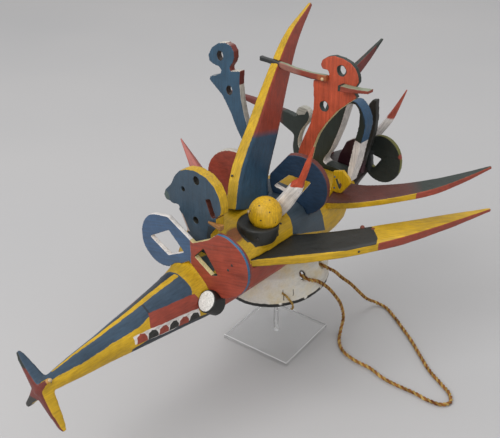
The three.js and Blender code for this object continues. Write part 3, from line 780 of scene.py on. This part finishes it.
# Wearing cap: a hollow oval bowl of carved wood that is worn over the crown. It is painted chalky
# white outside and its rim black, with painted shade inside it and round its rope holes. The black is
# chipped off in places, and the white is stained with age and cracked from the rim upwards.
RIM_BLACK = 0x1C1C1C
CAP_WHITE = 0xE2DDD2
STAIN = 0xCDBF9F
CRACK = 0x4A3A2C
HOLE_SHADE = 0x2A241E
RIM_HEIGHT = 147
RIM_CHIPS = [(89, -27, 146), (91, 18, 146), (82, 49, 143), (70, -75, 146)]
CHIP_REACH = 4
NEAR_SIDE = past(1, 0, 0, 40)
LONG_CRACK = [(-68.8, 152), (-67.2, 152), (-66.4, 173), (-67.4, 173)]
SHORT_CRACK = [(-52.4, 157), (-51, 157), (-49.6, 170), (-51, 170)]
HOLE_REACH = 8.8
BACK_HOLE = [(70, 28, 182), (66, 24.5, 183), (62, 21, 184)]
FRONT_HOLE = [(72, -22, 185), (67, -21.5, 186), (62, -21, 187)]
BOWL_INSIDE_SHADE = [around(52, 2, 180, 60), faces(-0.8, 0, -0.6, 0.1)]

# Chalky white: soft patches of stain, hardly any streaks, and little wear at the corners.
cap_paint = paint("cap_chalk_paint", CAP_WHITE, [
    (RIM_BLACK, [past(0, 0, -1, -RIM_HEIGHT)]),
    *((CAP_WHITE, [around(*at, CHIP_REACH)], 2) for at in RIM_CHIPS),
    (CRACK, inside("yz", LONG_CRACK) + [NEAR_SIDE]),
    (CRACK, inside("yz", SHORT_CRACK) + [NEAR_SIDE]),
    # Painted shade: dark brown round the rope holes and on the bowl's inner wall, where the hollow
    # stays dark.
    *((HOLE_SHADE, [around(*at, HOLE_REACH)], 2) for at in BACK_HOLE + FRONT_HOLE),
    (HOLE_SHADE, BOWL_INSIDE_SHADE),
], (0, 1, 0), wear=0.25, stain=STAIN, contrast=0.3)
carve("wearing_cap", 2.0, cap_paint, "white_paint")


# Eyes: two round wooden pegs let into the cheeks. Each has a flat white painted face inside a black
# edge, with no pupil, and looks forwards and up, turned a little inwards.
EYE_WHITE = 0xDAD8D2
EYE_BLACK = 0x1B1B1A
EYE_FACE = 16.6
EYE_INWARD = 0.15
EYE_FORWARD = 0.79
EYE_UP = 0.6
for side, node, face_at in (
    (1, "near_eye", (58.2, -252, 246.4)),
    (-1, "far_eye", (-44.2, -244, 225.4)),
):
    look = Vector((-side * EYE_INWARD, -EYE_FORWARD, EYE_UP))
    eye_tests = [faces(*look, 0.9), around(*face_at, EYE_FACE)]
    eye_paint = paint(node + "_paint", EYE_BLACK, [(EYE_WHITE, eye_tests)], look, wobble=0.6)
    carve(node, 1.2, eye_paint, "white_paint", uneven=0.3)


# Front boards: two boards sawn from plank and let into the log. The double disc lies across the head,
# with a slanting hole in each lobe, and the crest board behind it has the outline of an animal's head.
# Their edges are painted white and yellow, and a wedge of bare wood is driven in at the crest's foot.
CREAM = 0xD2C08A
LOBE_RED = 0x7A3026
LOBE_BLUE = 0x3F5A7A
EDGE_BLUE = 0x35668A
DISC_HOLE = [(13, 304), (38, 332), (72, 289), (53, 280)]
LOBE_TOP = [(8, 316), (62, 340), (62, 375), (8, 345)]
disc_paint = paint("front_disc_paint", BRIGHT_WHITE, [
    (LOBE_RED, [past(1, 0, 0, 62)]),
    (EDGE_BLUE, [past(1, 0, 0, 62), past(0, -1, 0, 229.5)]),
    (CREAM, inside("xz", LOBE_TOP)),
    # Painted shade: the walls of each lobe's hole are painted green-black, all but the wall that faces
    # up, which is cream.
    (GREEN_BLACK, inside("xz", DISC_HOLE)),
    (CREAM, inside("xz", DISC_HOLE) + [faces(0.49, 0, 0.87, 0.7)]),
    (LOBE_BLUE, [faces(0, -1, 0), past(-1, 0, 0, -9)]),
    (RED, [faces(0, -1, 0), past(1, 0, 0, 9)]),
    (BLACK, [faces(0, 1, 0)]),
], (1, 0, 0.3))
carve("front_double_disc", 1.3, disc_paint, "red_paint")

CREST_BLUE = 0x364A5A
CREST_HOLE = 0x2A2A24
SLOT_RED = 0x5E2F24
SHADOW_BLUE = 0x2B3338
SCRAPED_PINK = 0xCFB4A6
NOSE_GREEN = 0x4C5B58
CREST_HOLES = [(-7, 418, 9.5), (-38, 393, 6.5), (-11, 345, 9)]
CREST_SLOT = [(8, 391), (23, 400), (38, 366), (23, 357)]
CREST_FOOT = [(16, 345), (40, 345), (30, 285), (6, 285)]
CREST_SCRAPE = [(-47, 346), (-41, 346), (-26, 318), (-33, 318)]
CREST_NOSE = around(-81, 0, 367, 10, "xz")
crest_paint = paint("crest_paint", YELLOW, [
    *((CREST_HOLE, [around(x, 0, z, radius, "xz")]) for x, z, radius in CREST_HOLES),
    (SLOT_RED, inside("xz", CREST_SLOT)),
    (CREST_BLUE, [past(-1, 0, 0, 42)]),
    (CREST_BLUE, [faces(0, -1, 0)]),
    (CREST_BLUE, [faces(0, 1, 0)]),
    (SHADOW_BLUE, inside("xz", CREST_FOOT) + [faces(0, -1, 0)]),
    (SCRAPED_PINK, inside("xz", CREST_SCRAPE) + [faces(0, -1, 0)]),
    (NOSE_GREEN, [CREST_NOSE], 3),
], (0, 0, 1))
carve("crest_board", 1.6, crest_paint, "blue_paint")

WEDGE_WOOD = 0xA8743C
WEDGE_AT = (36, -204, 356)
WEDGE_SIZE = (30, 9, 9)
WEDGE_POINT = 0.35
WEDGE_CORNER = 1.2
work = bmesh.new()
bmesh.ops.create_cube(work, size=1)
bmesh.ops.scale(work, vec=Vector(WEDGE_SIZE) * MM, verts=work.verts)
narrow = [v for v in work.verts if v.co.x < 0]
bmesh.ops.scale(work, vec=(1, WEDGE_POINT, WEDGE_POINT), verts=narrow)
bmesh.ops.bevel(
    work, geom=work.edges[:], offset=WEDGE_CORNER * MM, segments=2, affect="EDGES", profile=0.5,
    material=-1,
)
bmesh.ops.translate(work, vec=Vector(WEDGE_AT) * MM, verts=work.verts)
bare_wedge = paint("bare_wood_wedge", WEDGE_WOOD, [], (1, 0, 0), wear=0.5)
new_piece("crest_wedge", work, "yellow_paint", bare_wedge)


# Figure boards: two standing boards of sawn plank with pierced round heads, set upright in the log.
# The blue one has a white and dark red edge, the orange one a cream and black edge. A long bar passes
# in front of the orange one, and a short bar is fixed to its head; both are red with a pale top.
BLUE = 0x2F4F66
ORANGE = 0xBA5032
WHITE = 0xCFC8BC
EDGE_RED = 0x6E2A22
HOLE_BROWN = 0x3A2A22
blue_paint = paint("blue_figure_paint", WHITE, [
    (EDGE_RED, [past(0, 0, 1, 500), faces(1, 0, 0, 0.2)]),
    (HOLE_BROWN, [around(-139, 0, 543, 10, "xz")]),
    (HOLE_BROWN, [around(-118, 0, 484, 10, "xz")]),
    (BLUE, [faces(-1, 0, 0, 0.3)]),
    (BLUE, [faces(0, -1, 0)]),
    (BLUE, [faces(0, 1, 0)]),
], (0, 0, 1))
carve("blue_figure_board", 1.4, blue_paint, "blue_paint")
orange_paint = paint("orange_figure_paint", GREEN_BLACK, [
    (CREAM, [past(0, 0, -1, -505), faces(1, 0, 0, 0.2)]),
    (ORANGE, [faces(0, -1, 0)]),
    (ORANGE, [faces(0, 1, 0)]),
    (GREEN_BLACK, [around(77, 0, 548, 9.6, "xz")]),
    (GREEN_BLACK, [around(46, 0, 478, 9.6, "xz")]),
], (0, 0, 1))
carve("orange_figure_board", 1.4, orange_paint, "orange_paint")

BAR_RED = 0x8A3B2A
PALE_GREEN = 0x8B937A
RUBBED_PINK = 0x96665A
BAR_ORANGE = 0xA85A32
UNDER_NAVY = 0x27364A
BAR_END = 0x3A3C3C
bar_paint = paint("bar_paint", BAR_RED, [
    (RUBBED_PINK, [past(-1, 0, 0, 5)], 14),
    (BAR_ORANGE, [past(1, 0, 0, 35)], 6),
    (UNDER_NAVY, [past(0, 0, -1, -524.6)]),
    (PALE_GREEN, [faces(0, 0, 1, 0.9)]),
    (BAR_END, [past(-1, 0, 0, 48)], 4),
], (1, 0, 0))
carve("cross_bar", 1.2, bar_paint, "red_paint")
peg_paint = paint("peg_paint", BAR_RED, [
    (PALE_GREEN, [faces(0, 0, 1, 0.9)]),
    (GREEN_BLACK, [past(-1, 0, 0, -87)]),
], (1, 0, 0))
carve("bar_peg", 1.0, peg_paint, "red_paint")


# Discs on the trunk: three flat round boards of sawn plank, set on edge in the log. The near and back
# ones have a four-sided hole, and the far one is whole. Their dark paint is dull and worn at the rims.
DISC_BLUE = 0x1D344C
DISC_RED = 0x6B2E25
DISC_BLACK = 0x232A26
OLIVE_EDGE = 0x6B6A2E
GREY_SMEAR = 0x3A3E40
NEAR_HOLE = [(1, 343), (33, 377), (81, 371), (51, 325)]
BACK_SMEAR = [(52, 345), (62, 345), (56, 300), (48, 300)]
near_disc_paint = paint("near_disc_paint", DISC_RED, [
    (BRIGHT_WHITE, inside("xz", NEAR_HOLE)),
    (DISC_BLUE, [faces(0.19, -0.98, 0)]),
    (DISC_BLUE, [faces(-0.19, 0.98, 0)]),
], (1, 0, 0))
carve("near_disc", 1.4, near_disc_paint, "blue_paint")
far_disc_paint = paint("far_disc_paint", RED, [
    (WHITE, [past(0, 0, 1, 370), faces(0, 0, 1, 0.4)]),
], (1, 0, 0))
carve("far_disc", 1.5, far_disc_paint, "red_paint")
back_disc_paint = paint("back_disc_paint", DISC_BLACK, [
    (OLIVE_EDGE, [faces(1, 0, 1, 0.4)]),
    (RED, [around(117, 218, 349, 5)], 2),
    (GREY_SMEAR, inside("xz", BACK_SMEAR)),
], (1, 0, 0))
carve("back_disc", 1.4, back_disc_paint, "black_paint")


# Arch, blade and lug: small boards cut from plank that stand in the back of the log. The tall open
# arch is dark in front, blue outside and white inside its legs, the blade is maroon with a black
# edge, and the yellow lug has a slot through it.
ARCH_BLUE = 0x2C5272
ARCH_LEG = [(54, 397), (90, 388), (90, 298), (54, 298)]
arch_paint = paint("arch_paint", BRIGHT_WHITE, [
    (GREEN_BLACK, [faces(-0.8, 0, 0.6, 0.3)]),
    (GREEN_BLACK, [faces(0, -1, 0)]),
    (ARCH_BLUE, [faces(0, -1, 0), past(1, 0, 0.3, 206)], 14),
    (GREEN_BLACK, [faces(0, 1, 0)]),
    (ARCH_BLUE, [past(0, 0, 1, 393), past(1, 0, 0, 46), faces(1, 0, 0.5, 0.2)]),
    (BRIGHT_WHITE, inside("xz", ARCH_LEG)),
], (0, 0, 1))
carve("arch_board", 1.5, arch_paint, "black_paint")

BLADE_MAROON = 0x4B2A33
BLADE_PALE = 0xB8B4AC
BLADE_SHOULDER = [(-6, 335), (30, 362), (36, 385), (-6, 385)]
blade_paint = paint("blade_paint", BLADE_MAROON, [
    (BLACK, [past(1, 0, 0, 58)], 5),
    (BLADE_PALE, inside("xz", BLADE_SHOULDER) + [faces(-0.4, 0, 1, 0.4)]),
], (0, 0, 1))
carve("upright_blade", 1.3, blade_paint, "maroon_paint")
LUG_SLOT = [(63, 339), (73, 344), (83, 330), (77, 316)]
lug_paint = paint("lug_paint", YELLOW, [
    (GREEN_BLACK, inside("xz", LUG_SLOT)),
    (YELLOW, [faces(0, -1, 0)]),
], (0, 0, 1))
carve("slotted_lug", 1.1, lug_paint, "yellow_paint")


# Horns: five flat sabres whittled from light wood and let into the log by their broad ends. They
# sweep up or back, and each is brushed along its length, with edges in another colour than its faces.
TALL_BLUE = 0x2F5068
TALL_TURN = past(0, -0.21, -1, -422)
FRONT_EDGE = faces(1, -0.6, 0, 0.5)
tall_paint = paint("tall_horn_paint", RED, [
    (TALL_BLUE, [TALL_TURN], 12),
    (YELLOW, [faces(0, -0.84, 0.54, 0.62)]),
    (BLACK, [faces(-1, 0, 0, 0.6)]),
], (-0.1, 0.5, 0.85))
carve("tall_horn", 1.6, tall_paint, "red_paint")
HORN_BLACK = [(71, -158), (206, 0), (202, 12), (195, 26), (183, 38), (166, 52), (30, 0), (30, -158)]
PEG_RING_BROWN = 0x7A3A26
front_horn_paint = paint("near_front_horn_paint", YELLOW, [
    (BLACK, inside("xy", HORN_BLACK) + [faces(0, 0, 1, 0.6)]),
    (PEG_RING_BROWN, [around(172, 47, 288, 4)], 1),
    (RED, [FRONT_EDGE, past(1, 0, 0, 204)]),
    (BLACK, [faces(0, 0, -1, 0.6)]),
], (0.6, 0.8, 0))
carve("near_front_horn", 1.4, front_horn_paint, "yellow_paint")
BACK_MAROON = 0x5A3029
back_horn_paint = paint("near_back_horn_paint", BACK_MAROON, [
    (GREEN_BLACK, [faces(0, 0, 1, 0.5), past(0.8, 0.6, 0, 240)], 26),
    (YELLOW, [FRONT_EDGE]),
    (RED, [FRONT_EDGE, past(1, 0, 0, 207)]),
], (0.8, 0.6, 0))
carve("near_back_horn", 1.4, back_horn_paint, "maroon_paint")
FAR_RED = 0x6E2A24
far_back_paint = paint("far_back_horn_paint", FAR_RED, [
    (GREEN_BLACK, [faces(0, -1, 0.3, 0.55)]),
    (GREEN_BLACK, [past(0, 1, 0, 352)], 8),
], (0, 0.6, 0.8))
carve("far_back_horn", 1.4, far_back_paint, "red_paint")
SIDE_RED = 0x6E2C24
HEAD_GREY = 0xB9B6AA
HORN_HEAD = [(-80, 402), (-64, 398), (-56, 411), (-44, 415), (-46, 430), (-80, 430)]
HEAD_LINE = [(-77, 409), (-72, 408), (-64, 400), (-70, 401)]
far_side_paint = paint("far_side_horn_paint", SIDE_RED, [
    (GREEN_BLACK, [past(1, 0, 0, -112)], 14),
    (WHITE, [past(1, 0, 0, -95), faces(1, 0, 0, 0.3)]),
    (HEAD_GREY, inside("xz", HORN_HEAD)),
    (GREEN_BLACK, inside("xz", HEAD_LINE)),
], (1, 0, 0))
carve("far_side_horn", 1.4, far_side_paint, "maroon_paint")


# Spikes: three four-sided pegs whittled to long points and driven into the log. The near and back
# ones are white with a red point, the far one is a faded red all over.
TIP_RED = 0xB94A2C
FADED_RED = 0xB5655A
BACK_TIP_RED = 0xA8503F
near_spike_paint = paint("near_spike_paint", BRIGHT_WHITE, [
    (TIP_RED, [past(0, 0, 1, 391)]),
], (0.6, 0, 0.8))
carve("near_spike", 1.1, near_spike_paint, "white_paint")
far_spike_paint = paint("far_spike_paint", FADED_RED, [], (-0.7, 0.2, 0.6), wear=0.4)
carve("far_spike", 1.0, far_spike_paint, "red_paint")
back_spike_paint = paint("back_spike_paint", BRIGHT_WHITE, [
    (BACK_TIP_RED, [past(0, 0, 1, 410)], 4),
], (0.5, 0, 0.85))
carve("back_spike", 1.0, back_spike_paint, "white_paint")


# Ball: a solid wooden ball, rounded with a knife, that sits in the black dish on the log. It is
# painted a clear yellow with little wear, and dotted with black at even distances.
BALL_YELLOW = 0xD8A90C
BALL_AT = Vector((59, -109, 346))
BALL_RADIUS = 28.3
DOTS = 22
DOT_TURN = 137.5
DOT_RADIUS = 1.5
ball_dots = []
for dot in range(DOTS):
    height = 1 - 2 * (dot + 0.5) / DOTS
    turn = dot * math.radians(DOT_TURN)
    reach = (1 - height * height) ** 0.5
    at = BALL_AT + Vector((reach * math.cos(turn), reach * math.sin(turn), height)) * BALL_RADIUS
    ball_dots.append((BLACK, [around(*at, DOT_RADIUS)], 1))
ball_paint = paint("ball_paint", BALL_YELLOW, ball_dots, (0, 0, 1), wear=0.15)
carve("yellow_ball", 1.3, ball_paint, "yellow_paint", uneven=0.3)


# Nails and pegs: dull dark iron heads hold the boards and horns to each other and to the log, two of
# them painted blue on the lug, and a few round wooden pegs stand out from the pieces. All are domes
# pressed into the surface. Each head is a place in mm and the way it looks.
IRON = 0x33302E
NAIL_BLUE = 0x3A5F86
PEG_PALE = 0xC9B08A
PEG_BROWN = 0x7A3A2A
DOME_STEPS = 5
DOME_SIDES = 14
IRON_HEADS = [
    ((50, -152, 316), (-0.1, -0.97, 0.2)), ((68, -79, 316), (0.6, 0, 0.8)),
    ((73, -145, 317), (0.6, -0.75, 0)), ((98, -234, 322), (0, -1, 0)), ((90, -234, 310), (0, -1, 0)),
    ((-22, -100, 384), (0, -0.83, 0.55)), ((187, -17.6, 280), (0.87, -0.5, 0)),
    ((160, 7, 288.6), (0, 0, 1)),
]
BLUE_HEADS = [((64, 80, 342), (0, -1, 0)), ((65, 80, 320), (0, -1, 0))]
PALE_PEGS = [
    ((43, -132, 352), (-0.55, -0.75, 0.35)), ((17, -521, 240), (0.3, 0, 1)),
    ((45, 53, 528.5), (0, -1, 0.2)), ((-112, -81, 344), (0.3, -0.8, 0.6)),
]
BROWN_PEGS = [((155, 40, 288), (0, 0, 1))]

for name, slot, colour, wear, heads, radius, height, finish in (
    ("iron_nail_heads", "black_paint", IRON, 0.3, IRON_HEADS, 2.3, 1.2, "old_iron_nails"),
    ("blue_nail_heads", "blue_paint", NAIL_BLUE, 0.2, BLUE_HEADS, 1.8, 1.2, "blue_nail_paint"),
    ("pale_pegs", "white_paint", PEG_PALE, 0.4, PALE_PEGS, 3.2, 2.4, "pale_peg_paint"),
    ("brown_peg", "red_paint", PEG_BROWN, 0.4, BROWN_PEGS, 4.2, 5, "brown_peg_paint"),
):
    head_paint = paint(finish, colour, [], (0, 0, 1), wobble=0.4, wear=wear)
    profile = [(0, -height)]
    for step in range(DOME_STEPS):
        rise = math.radians(90 * step / DOME_STEPS)
        profile.append((radius * math.cos(rise), height * math.sin(rise)))
    profile.append((0, height))
    work = bmesh.new()
    for at, way in heads:
        turned(work, profile, DOME_SIDES, at, way)
    new_piece(name, work, slot, head_paint)
